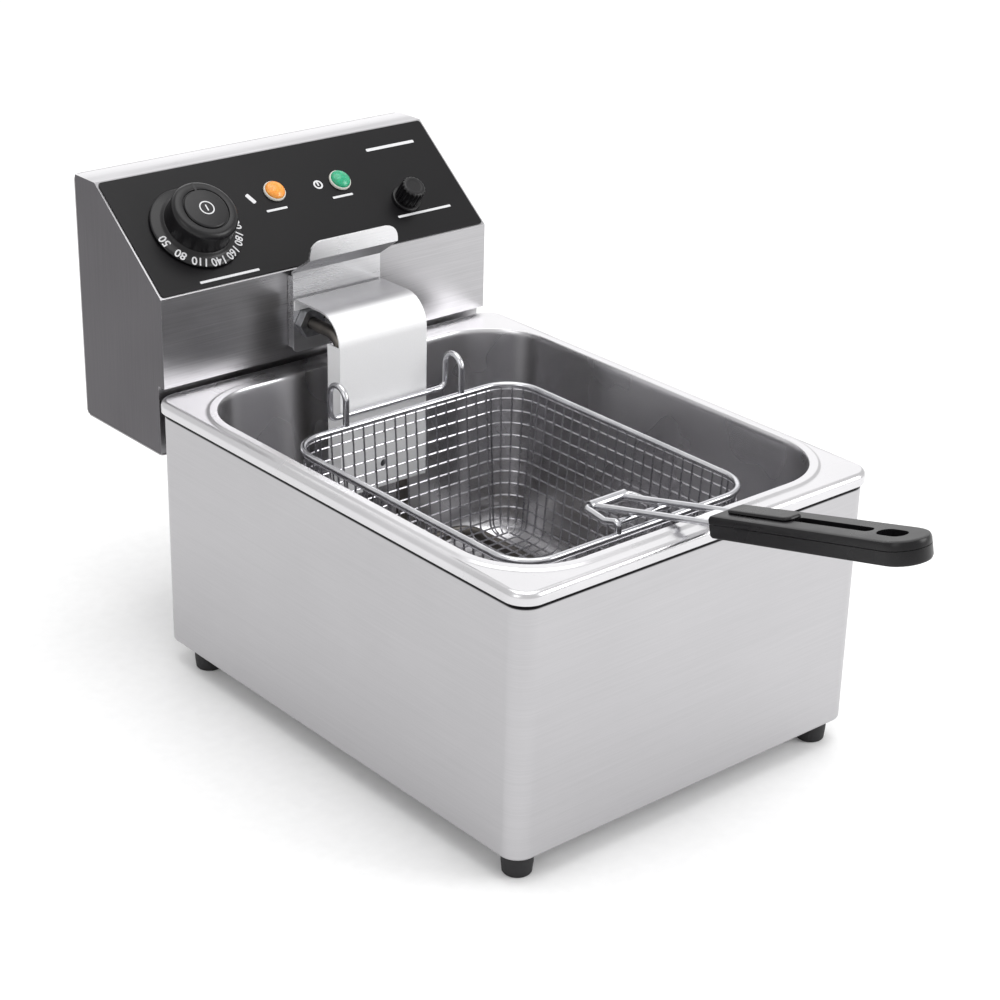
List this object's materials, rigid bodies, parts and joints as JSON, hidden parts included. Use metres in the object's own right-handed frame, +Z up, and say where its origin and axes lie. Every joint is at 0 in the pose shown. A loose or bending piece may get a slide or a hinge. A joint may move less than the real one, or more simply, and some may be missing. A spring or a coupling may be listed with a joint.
{
  "type": "countertop deep fryer",
  "caption": "Countertop electric deep fryer: steel casing, lift-out oil pan, sloped control head with heating element, and a wire basket with a folding handle.",
  "frame": {"origin": "centre of the overall footprint, from the handle's tip to the cord gland, on the plane of the feet", "axes": "+X to the right as seen from the handle, +Y to the control head at the back, +Z up"},
  "size_m": [0.2724, 0.6016, 0.2983],
  "materials": {
    "casing_steel": "satin brushed stainless sheet",
    "head_steel": "satin brushed stainless sheet",
    "cover_steel": "plain stainless sheet",
    "pan_steel": "deep-drawn stainless, smooth",
    "polished_strip": "bright polished stainless strip",
    "chromed_wire": "bright nickel-chrome plated wire",
    "element_steel": "heat-dulled stainless tube",
    "zinc_steel": "zinc-plated pressed steel",
    "panel_film": "satin black printed film",
    "control_plastic": "moulded black plastic",
    "grip_plastic": "moulded black heat-proof plastic",
    "black_nylon": "moulded black nylon",
    "foot_rubber": "moulded black rubber",
    "orange_lens": "tinted moulded lens",
    "green_lens": "tinted moulded lens",
    "white_plastic": "moulded off-white plastic",
    "red_plastic": "moulded red plastic"
  },
  "bodies": {
    "casing": {"casing": "casing_steel", "base_plate": "zinc_steel", "head_rail_left": "zinc_steel", "head_rail_right": "zinc_steel", "foot_front_left": "foot_rubber", "foot_screw_front_left": "zinc_steel", "foot_back_left": "foot_rubber", "foot_screw_back_left": "zinc_steel", "foot_front_right": "foot_rubber", "foot_screw_front_right": "zinc_steel", "foot_back_right": "foot_rubber", "foot_screw_back_right": "zinc_steel"},
    "pan": {"oil_pan": "pan_steel"},
    "knob": {"knob": "control_plastic", "knob_cap": "control_plastic", "knob_shaft": "zinc_steel"},
    "reset_cap": {"reset_cap": "control_plastic"},
    "reset_button": {"reset_button": "red_plastic"},
    "basket": {"basket_rim": "chromed_wire", "basket_mesh": "chromed_wire", "basket_hooks": "chromed_wire", "handle_bracket": "chromed_wire"},
    "handle": {"handle_wires": "chromed_wire", "handle_clip": "polished_strip", "grip_lower": "grip_plastic", "grip_upper": "grip_plastic", "grip_strip": "grip_plastic"},
    "head": {"head_shell": "head_steel", "head_back_cover": "cover_steel", "head_bottom_plate": "cover_steel", "head_hook_left": "zinc_steel", "head_hook_right": "zinc_steel", "cover_screw_1": "zinc_steel", "cover_screw_2": "zinc_steel", "cover_screw_3": "zinc_steel", "cover_screw_4": "zinc_steel", "cover_screw_5": "zinc_steel", "cover_screw_6": "zinc_steel", "hanger_bracket": "polished_strip", "element_hood": "polished_strip", "heating_element": "element_steel", "element_nut_left": "zinc_steel", "element_nut_right": "zinc_steel", "element_clamp": "zinc_steel", "thermostat_bulb": "zinc_steel", "limit_bulb": "zinc_steel", "terminal_block": "white_plastic", "interlock_switch": "black_nylon", "cord_gland": "black_nylon", "gland_nut": "black_nylon", "panel_label": "panel_film", "thermostat_body": "zinc_steel", "lamp_orange_body": "white_plastic", "lamp_orange_lens": "orange_lens", "lamp_green_body": "white_plastic", "lamp_green_lens": "green_lens", "limit_switch_body": "zinc_steel", "reset_collar": "control_plastic"}
  },
  "joints": [
    {"name": "pan_lift", "type": "slide", "parent": "casing", "child": "pan", "axis": [0, 0, 1], "range_m": [0, 0.17]},
    {"name": "head_lift", "type": "slide", "parent": "pan", "child": "head", "axis": [0, 0, 1], "range_m": [0, 0.16]},
    {"name": "basket_lift", "type": "slide", "parent": "head", "child": "basket", "axis": [0, 0, 1], "range_m": [0, 0.14]},
    {"name": "handle_fold", "type": "hinge", "parent": "basket", "child": "handle", "pos_m": [0, -0.0712, 0.1683], "axis": [-1, 0, 0], "range_deg": [0, 95]},
    {"name": "knob_turn", "type": "hinge", "parent": "head", "child": "knob", "pos_m": [-0.08, 0.22569, 0.26864], "axis": [0, 0.6243, -0.7812], "range_deg": [0, 300]},
    {"name": "reset_cap_off", "type": "slide", "parent": "head", "child": "reset_cap", "axis": [0, -0.6243, 0.7812], "range_m": [0, 0.02]},
    {"name": "reset_button_press", "type": "slide", "parent": "head", "child": "reset_button", "axis": [0, 0.6243, -0.7812], "range_m": [0, 0.0025], "stiffness_N_per_m": 400}
  ]
}
